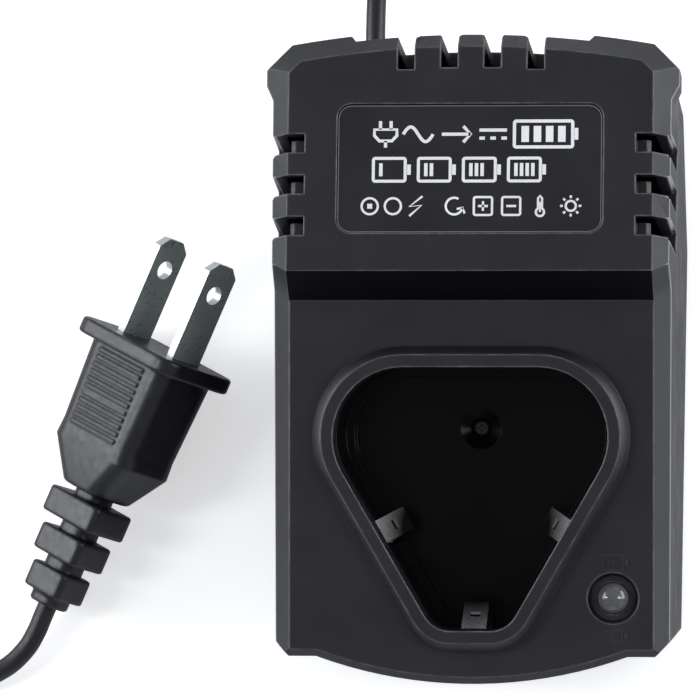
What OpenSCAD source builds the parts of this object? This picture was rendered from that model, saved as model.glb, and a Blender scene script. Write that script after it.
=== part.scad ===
// Desk charger for a cordless power tool battery with a three-cell stem.
// The base lies on the table, +Y is the rear, where the cord leaves, and +Z is up.

/* [Housing] */
// Width across the side walls at the top
body_w = 63.4; // [62:0.2:70]
// Height of the rear top above the base
body_h = 42; // [41:0.5:46]
// Length of the flat rear top, from the step to the rear wall
rear_len = 38.9; // [37:0.1:44]
// Length of the deck in front of the battery opening, along the slope
deck_margin = 4.2; // [4:0.2:8]
// Slope of the deck towards the front, in degrees
deck_tilt = 9; // [8:0.5:9.5]
// Drop from the rear top to the deck
step_h = 6.2; // [5:0.1:7]
// Run of the step between the rear top and the deck
step_run = 3.7; // [3:0.1:5]
// Wall thickness of both housings
wall = 2.4; // [2:0.1:2.6]
// Height of the joint line between the two housings
split_h = 6; // [5.6:0.2:6.6]
// Spread of each side wall from top to base
side_flare = 1.1; // [0.4:0.1:1.6]
// Inward turn of each side wall towards the front, in degrees
side_taper = 0.5; // [0:0.1:0.8]
// Width of the bevel along the top edges
bevel_w = 2.5; // [2:0.1:2.8]
// Height of the bevel along the top edges
bevel_h = 3; // [2.4:0.1:3.2]
// Depth of the cut rear corners
rear_cut = 3.2; // [3:0.1:5]
// Radius of the bowed rear wall
rear_bow_r = 165; // [140:5:220]
// Inward turn of the lower side walls towards the rear, in degrees
rear_draft = 2.2; // [1:0.2:2.6]
// How far the corner guards stand out of the walls
guard_t = 1.2; // [0.8:0.1:1.6]
// Height of the corner guards
guard_h = 11; // [8:0.5:14]

/* [Front] */
// Width of the curved part of the front
bulge_w = 50; // [46:1:54]
// How far the curved front stands out at its middle
bulge_t = 4.4; // [4:0.1:5.2]
// Depth of the cut front corners
front_cut = 2.3; // [1.6:0.1:3]
// Small bevel along the front edge
front_bevel = 1.1; // [0.6:0.1:1.4]
// How far the front wall draws in from deck to base
front_lean = 0.7; // [0.3:0.1:1]

/* [Vents] */
// Width of each side vent
side_vent_w = 3; // [2.4:0.1:3.4]
// Radius that rounds the wall beside each side vent
side_tooth_r = 0.4; // [0.2:0.1:0.8]
// Distance from one side vent to the next
side_vent_pitch = 6.7; // [6:0.1:7.2]
// Number of vents on each side
side_vents = 3; // [2:1:3]
// How far the side vents reach in from the wall
side_vent_in = 5.2; // [4:0.1:6]
// Width of each rear vent
rear_vent_w = 2.7; // [2.2:0.1:3.2]
// Distance from one rear vent to the next
rear_vent_pitch = 6.93; // [6:0.01:7.4]
// Radius that rounds the wall beside each rear vent
rear_tooth_r = 0.6; // [0.3:0.1:1]
// Number of rear vents
rear_vents = 4; // [3:1:5]
// How far the rear vents reach in from the rear wall
rear_vent_in = 5.9; // [4.4:0.1:6.4]
// Depth of all vents below the rear top
vent_depth = 17.5; // [12:0.5:20]

/* [Socket] */
// Width of the battery opening
socket_w = 44; // [42:0.5:45]
// Length of the battery opening along the deck
socket_len = 42.1; // [40:0.1:43]
// Distance from the step to the opening, along the deck
socket_from_step = 10.7; // [10.2:0.1:11.6]
// Radius of the two rear corners of the opening
socket_rear_r = 11.2; // [9:0.1:12]
// Radius of the two front corners of the opening
socket_front_r = 4.8; // [3.6:0.1:5.4]
// Height of the lowest corner of the socket cup above the housing floor
socket_lift = 0.96; // [0.8:0.04:3]
// Height of the collar above the deck
collar_h = 2.6; // [1.6:0.1:3.4]
// Width of the collar at the deck
collar_w = 3.3; // [2.8:0.1:3.8]
// Width of the sloping flank of the collar
collar_flank = 1.3; // [0.8:0.1:1.6]
// Wall thickness of the socket cup
cup_wall = 1.8; // [1.4:0.1:2]

/* [Contacts] */
// Width of each leaf contact
contact_w = 4; // [3.4:0.1:4.6]
// Thickness of the contact metal
contact_t = 0.4; // [0.3:0.05:0.5]
// How far each contact stands into the socket
contact_bulge = 4.2; // [3:0.1:4.6]
// Distance of the side contacts from the step, along the deck
contact_d = 37.2; // [35:0.2:39]

/* [Lamp] */
// Diameter of the lamp
lamp_d = 5; // [4.6:0.1:5.4]
// Distance of the lamp from the middle line
lamp_x = 22.7; // [21.5:0.1:23.5]
// Distance of the lamp from the step, along the deck
lamp_d_pos = 47.6; // [46:0.1:48.5]
// Diameter of the recess round the lamp
lamp_recess_d = 8.2; // [7:0.1:9]
// Depth of the recess round the lamp
lamp_recess = 1.1; // [0.6:0.1:1.3]

/* [Label] */
// Width of the label plate
label_w = 42.2; // [38:0.2:44]
// Length of the label plate
label_len = 20.6; // [18:0.2:21.4]
// Corner radius of the label plate
label_r = 2.1; // [1:0.1:3]
// Thickness of the label plate
label_t = 0.4; // [0.3:0.05:0.6]

/* [Base] */
// Distance between the screws, side to side
screw_span_x = 48; // [47.6:0.2:48.4]
// Diameter of the screw shanks
screw_d = 2.8; // [2.4:0.1:3]
// Diameter of the screw heads
screw_head_d = 5.4; // [4.8:0.1:5.6]
// Diameter of the rubber feet
foot_d = 8; // [6:0.5:9]
// Height of the rubber feet below the base
foot_h = 1; // [0.6:0.1:1.6]

/* [Circuit] */
// Width of the circuit board
board_w = 40; // [39:0.5:40.5]
// Length of the circuit board
board_len = 36; // [35.5:0.2:36.6]
// Thickness of the circuit board
board_t = 1.6; // [1.2:0.1:1.6]
// Height of the posts that carry the board
board_post_h = 4.8; // [4.4:0.1:5.2]
// Diameter of the input capacitor
input_cap_d = 10; // [8:0.5:10.5]
// Height of the input capacitor
input_cap_h = 16; // [12:0.5:20]
// Diameter of the output capacitor
output_cap_d = 8; // [6.5:0.5:8.5]
// Height of the output capacitor
output_cap_h = 12; // [9:0.5:16]
// Width of the transformer core
core_w = 19; // [16:0.5:20]
// Height of the transformer core
core_h = 16; // [14:0.5:18]

/* [Cord and plug] */
// Diameter of the mains cord
cord_d = 3.2; // [2.8:0.1:3.4]
// Height of the cord outlet above the base
cord_exit_z = 12; // [11.5:0.1:12.5]
// Distance of the cord outlet from the middle line
cord_exit_x = 18; // [18:0.1:18.4]
// Width of the plug flange
plug_w = 24; // [22:0.5:25]
// Thickness of the plug flange, over its two flat sides
plug_h = 17.4; // [15.4:0.2:18]
// Length of the plug body behind the flange face
plug_body_len = 26; // [25:0.5:26]
// Distance between the two blades
blade_pitch = 12.7; // [12.5:0.1:12.9]

/* [Hidden] */

// Sizes that follow from the ones above
big = 80;
eps = 0.01;
half_w = body_w / 2;
deck_len = socket_from_step + socket_len + deck_margin;
total_len = rear_len + step_run + (deck_len + bulge_t) * cos(deck_tilt) - front_bevel * sin(deck_tilt);
rear_y = total_len / 2;
step_top_y = rear_y - rear_len;
step_foot_y = step_top_y - step_run;
deck_rear_z = body_h - step_h;
step_angle = atan2(step_h, step_run);
bulge_r = (pow(bulge_w / 2, 2) + pow(bulge_t, 2)) / (2 * bulge_t);
rear_corner_y = rear_y - pow(half_w - rear_cut, 2) / (2 * rear_bow_r);
vent_floor_z = body_h - vent_depth;
side_vent_start = 18.2;
draft_run = 26;
lip_h = 2;
lip_gap = 0.1;
cup_gap = 0.1;
floor_z = wall;
socket_depth = (deck_rear_z - floor_z - socket_lift) / cos(deck_tilt)
    - (socket_from_step + socket_len + cup_wall) * tan(deck_tilt) - cup_wall;

// Screw places
rear_screw_y = rear_y - 9.5;
front_screw_y = step_foot_y - 34.5;
screw_boss_r = 3;
head_boss_r = 4.2;
screw_head_h = 1.8;
screw_len = split_h + 6;
screw_seat_z = 3.4;
boss_foot_z = split_h + lip_h + 0.4;
foot_x = half_w - 6.5;
front_foot_y = step_foot_y - 45;
rear_foot_y = rear_y - 19;

// Board place
board_z = floor_z + board_post_h;
board_top_z = board_z + board_t;
board_front_y = step_foot_y - 1.6;
board_mid_y = board_front_y + board_len / 2;
board_screw_x = board_w / 2 - 3;

// Moves its children to a point of the deck: x across, d down the slope, depth below the deck
module on_deck(x = 0, d = 0, depth = 0) {
    translate([0, step_foot_y, deck_rear_z])
        rotate([deck_tilt, 0, 0])
            translate([x, -d, -depth])
                children();
}

// ---------- outlines ----------

function unit(v) = v / norm(v);

// Points of the arc of radius r that rounds corner b of the path a, b, c
function round_corner(a, b, c, r, steps) =
    let (u = unit(a - b), v = unit(c - b), half = acos(u * v) / 2,
        centre = b + unit(u + v) * r / sin(half),
        start = b + u * r / tan(half) - centre,
        turn = sign(cross(b - a, c - b)) * (180 - 2 * half))
    [for (k = [0:steps]) let (t = turn * k / steps)
        centre + [start.x * cos(t) - start.y * sin(t), start.x * sin(t) + start.y * cos(t)]];

function rounded(points, radii, steps = 6) =
    let (n = len(points))
    [for (k = [0:n - 1]) each
        round_corner(points[(k + n - 1) % n], points[k], points[(k + 1) % n], radii[k], steps)];

function rounded_box(w, l, r) =
    rounded([[-w / 2, -l / 2], [w / 2, -l / 2], [w / 2, l / 2], [-w / 2, l / 2]], [r, r, r, r]);

// The battery opening: a triangle with a cut tip, grown by e all round.
// The rear edge lies on y = 0 and the tip points towards -Y.
socket_rear_half = socket_w / 2 + 0.732 * socket_rear_r;
socket_tip_half = socket_rear_half - socket_len / tan(60);
function socket_outline(e) =
    let (a = socket_rear_half + e * sqrt(3), b = socket_tip_half + e / sqrt(3))
    rounded([[a, e], [-a, e], [-b, -socket_len - e], [b, -socket_len - e]],
        [socket_rear_r + e, socket_rear_r + e, socket_front_r + e, socket_front_r + e], 14);

// ---------- body form ----------

// Half-width of the top face once it is lowered by i
function top_half(i) = half_w - bevel_w - i * (norm([bevel_w, bevel_h]) - bevel_w) / bevel_h;

// Wall with a bevelled top edge, as a profile of reach against height; g pushes the wall out.
// The cavity, which is drawn in by the whole wall, keeps its edges square.
function edge_profile(reach, top, low, w, h, i, g = 0) =
    let (slant = norm([w, h]), wall_x = reach - i + g, wall_top = top - h - i * (slant - h) / w - g * h / w,
        top_x = reach - w - i * (slant - w) / h)
    i < wall ? [[-big, low], [wall_x, low], [wall_x, wall_top], [top_x, top - i], [-big, top - i]]
        : [[-big, low], [wall_x, low], [wall_x, top - i], [-big, top - i]];

// Flat top in the plane z = 0, with a bevel along both sides of the outer forms
module roof(i) {
    spread = 8;
    if (i < wall)
        rotate([90, 0, 0])
            linear_extrude(4 * big, center = true)
                polygon([for (s = [-1, 1], k = s < 0 ? [0:2] : [2:-1:0])
                    [s * (top_half(i) + [spread, spread, 0][k] * bevel_w),
                        -[2 * big, i + spread * bevel_h, i][k]]]);
    else
        translate([-big, -2 * big, -2 * big])
            cube([2 * big, 4 * big, 2 * big - i]);
}

// One flared side wall, s = 1 on the right and -1 on the left; g pushes it out
module side_wall(s, i, g) {
    edge = 1;
    translate([0, step_foot_y, 0])
        rotate([0, 0, s * -side_taper])
            rotate([90, 0, 0])
                linear_extrude(4 * big, center = true)
                    polygon([[-s * big, i], [s * (half_w + side_flare - i - edge), i],
                        [s * (half_w + side_flare - i), i + edge], [s * (half_w - i + g), body_h - bevel_h],
                        [s * (half_w - i + g), body_h + 1], [-s * big, body_h + 1]]);
}

// Draws the lower part of one side wall in towards the rear
module rear_draft_wall(s, i, g) {
    translate([s * (half_w + side_flare - i + g), rear_y - draft_run, 0])
        rotate([0, 0, s * rear_draft])
            translate([s > 0 ? -2 * big : 0, -2 * big, -1])
                cube([2 * big, 4 * big, 2 * big]);
}

// Rear wall with its two cut corners
module rear_walls(i, g) {
    reach = (half_w + rear_corner_y - rear_cut) / sqrt(2);
    intersection() {
        translate([0, rear_y - rear_bow_r, 0])
            rotate_extrude($fn = 360)
                polygon([for (p = edge_profile(rear_bow_r, body_h, -big, bevel_w, bevel_h, i, g))
                    [max(p.x, 0), p.y]]);
        bevelled_edge(45, edge_profile(reach, body_h, -big, bevel_w, bevel_h, i, g));
        bevelled_edge(135, edge_profile(reach, body_h, -big, bevel_w, bevel_h, i, g));
    }
}

// Long bar of the given profile that faces the given direction
module bevelled_edge(angle, profile) {
    rotate([0, 0, angle])
        rotate([90, 0, 0])
            linear_extrude(4 * big, center = true)
                polygon(profile);
}

// Front wall profile in the frame of the deck
function front_profile(reach, i) =
    [for (p = edge_profile(reach, 0, -big, front_bevel, front_bevel, i))
        [p.x > -big && p.y == -big ? p.x - front_lean * big / deck_rear_z : p.x, p.y]];

// Everything under the flat rear top and the face of the step
module rear_top(i, g) {
    intersection() {
        translate([0, 0, body_h])
            roof(i);
        translate([0, step_foot_y, deck_rear_z])
            rotate([step_angle, 0, 0])
                roof(i);
        rear_walls(i, g);
    }
}

// Cut front corner, with the bevel of the front edge only on the outer forms
function corner_profile(reach, i) =
    i < wall ? front_profile(reach, i)
        : [[-big, -big - 1], [reach - i, -big - 1], [reach - i, 1], [-big, 1]];

// Everything under the sloping deck
module deck_top(i) {
    reach = (half_w + deck_len - front_cut) / sqrt(2);
    intersection() {
        on_deck()
            intersection() {
                roof(i);
                union() {
                    bevelled_edge(-90, front_profile(deck_len, i));
                    translate([0, bulge_r - deck_len - bulge_t, 0])
                        rotate_extrude($fn = 240)
                            polygon([for (p = front_profile(bulge_r, i)) [max(p.x, 0), p.y]]);
                }
                bevelled_edge(-45, corner_profile(reach, i));
                bevelled_edge(-135, corner_profile(reach, i));
            }
        translate([-2 * big, step_top_y - 4 * big, -2 * big])
            cube([4 * big, 4 * big, 4 * big]);
    }
}

// Whole outer form, drawn in by i and with its walls pushed out by g
module form(i, g = 0) {
    intersection() {
        side_wall(1, i, g);
        side_wall(-1, i, g);
        rear_draft_wall(1, i, g);
        rear_draft_wall(-1, i, g);
        union() {
            rear_top(i, g);
            deck_top(i);
        }
    }
}

// Slab between two heights
module slab(low, high) {
    translate([-2 * big, -2 * big, low])
        cube([4 * big, 4 * big, high - low]);
}

// Thickened rear corner with slanting ends, s = 1 on the right and -1 on the left
module corner_guard(s) {
    over = 2;
    side_end = 8.7;
    side_slant = 2.6;
    rear_end = half_w - 20.6;
    intersection() {
        form(0, guard_t);
        translate([s * half_w, rear_y, body_h - guard_h])
            scale([s, 1, 1])
                linear_extrude(guard_h + 1)
                    polygon([[guard_t + over, over + guard_t], [guard_t + over, over * side_slant / guard_t - side_end],
                        [-over, -side_end - side_slant * (over + guard_t) / guard_t],
                        [-over - 6, -side_end - side_slant], [-rear_end - 1.2, -8], [-rear_end - 1.2 - 1.2, -1.8],
                        [-rear_end + 1.2, over + guard_t]]);
    }
}

// ---------- openings of the housings ----------

// Slot that runs out of a wall at x = 0, with the wall rounded by r beside its mouth
module vent_slot(w, reach, r) {
    translate([0, 0, vent_floor_z])
        linear_extrude(big)
            polygon([[-reach, w / 2], [-reach, -w / 2],
                for (a = [0:18:90]) [-r + r * sin(a), -w / 2 - r + r * cos(a)],
                [big / 8, -w / 2 - r], [big / 8, w / 2 + r],
                for (a = [90:-18:0]) [-r + r * sin(a), w / 2 + r - r * cos(a)]]);
}

module vents() {
    for (k = [0:side_vents - 1], s = [-1, 1])
        translate([s * half_w, rear_y - side_vent_start - k * side_vent_pitch, 0])
            rotate([0, 0, 90 - s * 90])
                vent_slot(side_vent_w, side_vent_in, side_tooth_r);
    for (k = [0:rear_vents - 1])
        let (x = (k - (rear_vents - 1) / 2) * rear_vent_pitch)
            translate([x, rear_y - x * x / (2 * rear_bow_r), 0])
                rotate([0, 0, 90])
                    vent_slot(rear_vent_w, rear_vent_in, rear_tooth_r);
}

// Shelf in each side vent that keeps things from dropping in, s = 1 on the right and -1 on the left
module vent_shelves(s) {
    root_x = half_w - side_vent_in - 1.4;
    rim_x = half_w - 2.9;
    top = body_h - wall + 0.2;
    rim_bevel = 0.6;
    for (k = [0:side_vents - 1])
        translate([0, rear_y - side_vent_start - k * side_vent_pitch + side_vent_w / 2 - 0.7, top])
            rotate([90, 0, 0])
                linear_extrude(side_vent_w + 0.3)
                    polygon([[s * root_x, -1.4], [s * rim_x, -1.4], [s * rim_x, -rim_bevel],
                        [s * (rim_x - rim_bevel), 0], [s * root_x, 0]]);
}

label_y = step_top_y + 6.3 + label_len / 2;

module label_plate(e, t) {
    translate([0, label_y, 0])
        linear_extrude(t)
            polygon(rounded_box(label_w + 2 * e, label_len + 2 * e, label_r + e));
}

// Runs its children at each of the four housing screws
module at_screws() {
    for (s = [-1, 1])
        translate([s * screw_span_x / 2, rear_screw_y, 0])
            children();
    for (s = [-1, 1])
        translate([s * (screw_span_x / 2 + 2.6), front_screw_y, 0])
            children();
}

module collar() {
    on_deck(0, socket_from_step, 0)
        hull() {
            translate([0, 0, -wall / 2])
                linear_extrude(wall / 2 + collar_h - collar_flank)
                    polygon(socket_outline(collar_w));
            translate([0, 0, collar_h - collar_flank / 2])
                linear_extrude(collar_flank / 2)
                    polygon(socket_outline(collar_w - collar_flank));
        }
}

// ---------- housings ----------

module top_housing() {
    color("#2b2a2e")
        union() {
            vent_shelves(1);
            vent_shelves(-1);
            top_shell();
        }
}

module top_shell() {
    difference() {
        union() {
            difference() {
                union() {
                    form(0);
                    corner_guard(1);
                    corner_guard(-1);
                }
                form(wall);
            }
            collar();
            intersection() {
                at_screws()
                    translate([0, 0, boss_foot_z])
                        cylinder(h = body_h, r = screw_boss_r, $fn = 48);
                form(wall / 2);
            }
        }
        slab(-big, split_h);
        intersection() {
            form(wall / 2);
            slab(split_h - eps, split_h + lip_h + 0.2);
        }
        vents();
        translate([0, 0, body_h - label_t - 0.1])
            label_plate(0.15, big);
        on_deck(0, socket_from_step, wall + 1)
            linear_extrude(big)
                polygon(socket_outline(0));
        on_deck(lamp_x, lamp_d_pos, wall + 1)
            cylinder(h = big, d = lamp_d + 0.2, $fn = 48);
        on_deck(lamp_x, lamp_d_pos, lamp_recess)
            cylinder(h = 2 * lamp_recess, d1 = lamp_recess_d - 1.2, d2 = lamp_recess_d + 1.2, $fn = 64);
        at_screws()
            translate([0, 0, boss_foot_z - 1])
                cylinder(h = screw_len - 2, d = screw_d + 0.1, $fn = 32);
        translate([-cord_exit_x, rear_y, cord_exit_z])
            rotate([90, 0, 0])
                cylinder(h = big / 4, d = bushing_neck_d + 0.2, center = true, $fn = 48);
    }
}

module bottom_housing() {
    color("#242327")
        difference() {
            union() {
                difference() {
                    intersection() {
                        form(0);
                        slab(-1, split_h);
                    }
                    difference() {
                        form(wall);
                        slab(-1, floor_z);
                    }
                }
                difference() {
                    intersection() {
                        form(wall / 2 + lip_gap);
                        slab(floor_z, split_h + lip_h);
                    }
                    form(wall);
                }
                at_screws()
                    rotate_extrude($fn = 48)
                        polygon([[0, 0.5], [head_boss_r, 0.5], [head_boss_r, screw_seat_z + 1.6],
                            [screw_boss_r, screw_seat_z + 1.6], [screw_boss_r, boss_foot_z - 0.1],
                            [0, boss_foot_z - 0.1]]);
                board_posts(0)
                    cylinder(h = board_z, r = 2.6, $fn = 32);
                socket_post();
            }
            at_screws()
                union() {
                    translate([0, 0, -1])
                        cylinder(h = screw_seat_z + 1, d = screw_head_d + 0.6, $fn = 48);
                    cylinder(h = big, d = screw_d + 0.5, $fn = 32);
                }
            board_posts(1)
                translate([0, 0, floor_z])
                    cylinder(h = big, d = board_screw_d + 0.1, $fn = 32);
            on_deck(0, socket_screw_d_pos, socket_screw_seat + socket_screw_len + 0.3)
                cylinder(h = socket_screw_len, d = socket_screw_d + 0.1, $fn = 32);
            at_feet()
                translate([0, 0, -1])
                    cylinder(h = 1 + foot_seat, d = foot_d + 0.2, $fn = 48);
        }
}

// Four board posts; with which = 1 only the two that take screws
module board_posts(which) {
    for (s = [-1, 1], t = [-1, 1])
        if (which == 0 || s == t)
            translate([s * board_screw_x, board_mid_y + t * (board_len / 2 - 3), 0])
                children();
}

socket_screw_d_pos = socket_from_step + 10;
socket_screw_d = 2;
socket_screw_len = 4.8;
socket_screw_seat = socket_depth + 2.3;
cup_foot_depth = socket_depth + 3.2;

// Post under the floor of the socket, square to the deck
module socket_post() {
    intersection() {
        on_deck(0, socket_screw_d_pos, cup_foot_depth + cup_gap + big / 2)
            cylinder(h = big / 2, r = 3.4, $fn = 48);
        slab(floor_z / 2, body_h);
    }
}

foot_seat = 0.6;

module at_feet() {
    for (s = [-1, 1], y = [front_foot_y, rear_foot_y])
        translate([s * foot_x, y, 0])
            children();
}

module rubber_feet() {
    color("#1a1a1b")
        at_feet()
            translate([0, 0, -foot_h])
                rotate_extrude($fn = 64)
                    polygon([[0, 0], [foot_d / 2 - 0.5, 0], [foot_d / 2, 0.5], [foot_d / 2, foot_h + foot_seat],
                        [0, foot_h + foot_seat]]);
}

// ---------- battery socket ----------

contact_pivot_depth = socket_depth - 1.2;
contact_top_depth = wall + 2.1;
contact_slot = 0.5;
contact_roll_d = 1.1;

// Places its children on a wall of the socket, +X into the socket and z = 0 on the deck
module at_contact(which) {
    d_in = contact_d - socket_from_step;
    wall_x = socket_rear_half - d_in / tan(60);
    if (which == "sense")
        on_deck(0, socket_from_step + socket_len)
            rotate([0, 0, 90])
                children();
    if (which == "positive")
        on_deck(-wall_x, contact_d)
            rotate([0, 0, 30])
                children();
    if (which == "negative")
        on_deck(wall_x, contact_d)
            rotate([0, 0, 150])
                children();
}

module battery_socket() {
    rim = wall + cup_gap;
    ledge_h = 3;
    color("#0e0e10")
        difference() {
            union() {
                on_deck(0, socket_from_step, socket_depth + cup_wall)
                    linear_extrude(socket_depth + cup_wall - rim)
                        polygon(socket_outline(cup_wall));
                on_deck(0, socket_from_step, rim + 1.6)
                    linear_extrude(1.6)
                        polygon(socket_outline(cup_wall + 2.2));
                on_deck(0, socket_screw_d_pos, cup_foot_depth)
                    cylinder(h = 2, r = 4.6, $fn = 48);
            }
            difference() {
                on_deck(0, socket_from_step, socket_depth)
                    linear_extrude(big)
                        polygon(socket_outline(-0.2));
                difference() {
                    on_deck(0, socket_from_step, socket_depth + 1)
                        linear_extrude(1 + ledge_h)
                            polygon(socket_outline(cup_wall / 2));
                    on_deck(0, socket_from_step, socket_depth + 2)
                        linear_extrude(big)
                            polygon(socket_outline(-1.6));
                }
            }
            on_deck(0, socket_screw_d_pos, socket_depth + 0.8)
                cylinder(h = 1.6, r1 = 1.6, r2 = 5.2, $fn = 64);
            on_deck(0, socket_screw_d_pos, socket_screw_seat)
                cylinder(h = 3, d = 3.2, $fn = 48);
            on_deck(0, socket_screw_d_pos, cup_foot_depth + 1)
                cylinder(h = 4, d = socket_screw_d + 0.3, $fn = 32);
            for (which = ["positive", "negative", "sense"])
                at_contact(which)
                    contact_window();
        }
}

// Slot in the cup wall for one contact and its foot
module contact_window() {
    top = -(contact_top_depth - 0.9);
    low = -(contact_pivot_depth + contact_roll_d / 2 + 0.3);
    translate([-cup_wall - 1, -contact_w / 2 - contact_slot, low])
        cube([cup_wall + 3, contact_w + 2 * contact_slot, top - low]);
}

// Side view of a leaf contact: tucked top, sloping face, round crest, and a foot that leaves the cup
function contact_path() =
    [for (p = [[-0.7, 0], [contact_bulge - 0.9, 7.2], [contact_bulge - 0.3, 8.3], [contact_bulge, 9.1],
        [contact_bulge - 0.1, 9.9], [contact_bulge - 0.5, 10.8]]) [p.x, -contact_top_depth - p.y],
        [0.6, -contact_pivot_depth + 2], [-0.2, -contact_pivot_depth + 0.4], [-0.7, -contact_pivot_depth],
        [-cup_wall - 2.4, -contact_pivot_depth]];

function path_normal(p, k) =
    let (a = k == 0 ? p[0] : p[k - 1], b = k == len(p) - 1 ? p[k] : p[k + 1], u = unit(b - a))
    [u.y, -u.x];

module contact(which) {
    path = contact_path();
    side = [for (k = [0:len(path) - 1]) path_normal(path, k) * contact_t / 2];
    color("#a9a79f")
        at_contact(which)
            difference() {
                union() {
                    rotate([90, 0, 0])
                        linear_extrude(contact_w, center = true)
                            polygon([for (k = [0:len(path) - 1]) path[k] + side[k],
                                for (k = [len(path) - 1:-1:0]) path[k] - side[k]]);
                    translate([-0.7, 0, -contact_pivot_depth])
                        rotate([90, 0, 0])
                            cylinder(h = contact_w, d = contact_roll_d, center = true, $fn = 32);
                }
                translate([contact_bulge * 0.55, 0, -contact_top_depth - 5])
                    cube([1, 1.6, 1.2], center = true);
            }
}

module contact_positive() {
    contact("positive");
}

module contact_negative() {
    contact("negative");
}

module contact_sense() {
    contact("sense");
}

module socket_screw() {
    color("#8d8f92")
        on_deck(0, socket_screw_d_pos, socket_screw_seat)
            difference() {
                union() {
                    rotate_extrude($fn = 48)
                        polygon([[0, 0], [1.45, 0], [1.45, 0.6], [1, 1], [0, 1]]);
                    translate([0, 0, -socket_screw_len])
                        cylinder(h = socket_screw_len + 0.2, d = socket_screw_d, $fn = 32);
                }
                for (a = [0, 90])
                    rotate([0, 0, a])
                        translate([-0.8, -0.2, 0.5])
                            cube([1.6, 0.4, 1]);
            }
}

// ---------- lamp and label ----------

module status_lamp() {
    rim_z = -wall - 0.1;
    color("#a6a6a2", 0.8)
        on_deck(lamp_x, lamp_d_pos)
            rotate_extrude($fn = 64)
                polygon([[0, rim_z - 3], [lamp_d / 2 + 0.4, rim_z - 3], [lamp_d / 2 + 0.4, rim_z],
                    [lamp_d / 2, rim_z], for (a = [0:10:90])
                        [lamp_d / 2 * cos(a), lamp_d / 2 * sin(a) - 0.9]]);
}

module rating_label() {
    color("#25242a")
        translate([0, 0, body_h - label_t - 0.1])
            label_plate(0, label_t);
}

// ---------- circuit ----------

board_screw_d = 2.2;

module circuit_board() {
    color("#2f5d3a")
        difference() {
            translate([-board_w / 2, board_front_y, board_z])
                cube([board_w, board_len, board_t]);
            board_posts(1)
                translate([0, 0, board_z - 1])
                    cylinder(h = board_t + 2, d = board_screw_d + 0.3, $fn = 32);
        }
}

module board_screws() {
    color("#9a9c9f")
        board_posts(1)
            translate([0, 0, board_top_z])
                rotate_extrude($fn = 40)
                    polygon([[0, -5.5], [board_screw_d / 2, -5.5], [board_screw_d / 2, 0], [2, 0], [2, 0.7],
                        [1.3, 1.4], [0, 1.4]]);
}

module on_board(x, y) {
    translate([x, board_front_y + y, board_top_z])
        children();
}

core_x = 4.2;
core_y = board_len * 0.583;
core_t = 5;
chip_y = 9.5;
core_leg = 3.2;
core_mid_leg = 4.8;
core_lift = 2.5;
core_window = (core_w - 2 * core_leg - core_mid_leg) / 2;

module transformer_core() {
    color("#3a3a3e")
        on_board(core_x, core_y)
            difference() {
                translate([-core_w / 2, -core_t / 2, core_lift])
                    cube([core_w, core_t, core_h]);
                for (s = [-1, 1])
                    translate([s * (core_mid_leg + core_window) / 2, 0, core_lift + core_h / 2])
                        cube([core_window, 2 * core_t, core_h - 2 * core_leg], center = true);
            }
}

module transformer_winding() {
    gap = 0.1;
    depth = core_t + 6.4;
    color("#c9a227")
        on_board(core_x, core_y)
            union() {
                translate([0, 0, core_lift + core_h / 2])
                    difference() {
                        cube([core_w - 2 * core_leg - 2 * gap, depth, core_h - 2 * core_leg - 2 * gap],
                            center = true);
                        cube([core_mid_leg + 2 * gap, core_t + 2 * gap, core_h], center = true);
                        for (s = [-1, 1])
                            translate([s * core_w / 2, 0, 0])
                                cube([2 * core_leg, core_t + 2 * gap, core_h], center = true);
                    }
                for (s = [-1, 1])
                    translate([-core_w / 2 + 1, s * (depth / 2 - 1.4) - 1.4, 0])
                        cube([core_w - 2, 2.8, core_lift + core_leg + 0.3]);
            }
}

// Upright electrolytic capacitor with its crimp groove
module can(d, h) {
    rotate_extrude($fn = 64)
        polygon([[0, 0], [d / 2 - 0.3, 0], [d / 2, 0.4], [d / 2, 1.6], [d / 2 - 0.4, 2.1], [d / 2, 2.6],
            [d / 2, h - 0.5], [d / 2 - 0.5, h], [0, h]]);
}

module input_capacitor() {
    color("#2a3550")
        on_board(-board_w / 2 + input_cap_d / 2 + 0.8, core_y)
            can(input_cap_d, input_cap_h);
}

module output_capacitor() {
    color("#1f4a44")
        on_board(board_w / 2 - output_cap_d / 2 - 1.5, chip_y + 0.3)
            can(output_cap_d, output_cap_h);
}

// Axial part that lies on the board, with its wire ends
module axial(d, l) {
    translate([0, 0, d / 2])
        rotate([90, 0, 0])
            union() {
                cylinder(h = l, d = d, center = true, $fn = 40);
                cylinder(h = l + 4, d = 0.7, center = true, $fn = 16);
            }
}

module rectifier_diodes() {
    color("#1b1b1c")
        for (k = [0:3])
            on_board(-board_w / 2 + 4.6 + 3.6 * k, board_len - 5)
                axial(2.7, 5);
}

module output_diode() {
    color("#1b1b1c")
        on_board(board_w / 2 - 3, core_y)
            axial(5, 8);
}

module input_fuse() {
    color("#7fa36b")
        on_board(2.5, board_len - 2.5)
            rotate([0, 0, 90])
                axial(3.4, 8);
}

module filter_choke() {
    color("#3b3330")
        on_board(10.5, board_len - 5.5)
            can(6, 8);
}

module switching_transistor() {
    color("#18181a")
        on_board(core_x - core_w / 2 - 1.9, core_y)
            union() {
                translate([-1.4, -4, 2.5])
                    cube([2.8, 8, 11]);
                for (k = [-1, 0, 1])
                    translate([-0.3, k * 2.3 - 0.4, 0])
                        cube([0.6, 0.8, 3]);
            }
}

// Dual in-line package with its legs
module chip(l, pins) {
    translate([-l / 2, -3.2, 0.5])
        cube([l, 6.4, 3.3]);
    for (k = [0:pins - 1], s = [-1, 1])
        translate([(k - (pins - 1) / 2) * 2.54 - 0.3, s * 3.3 - 0.6, 0])
            cube([0.6, 1.2, 2]);
}

module control_chip() {
    color("#19191b")
        on_board(8 - board_w / 2, chip_y)
            chip(9.6, 4);
}

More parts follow.
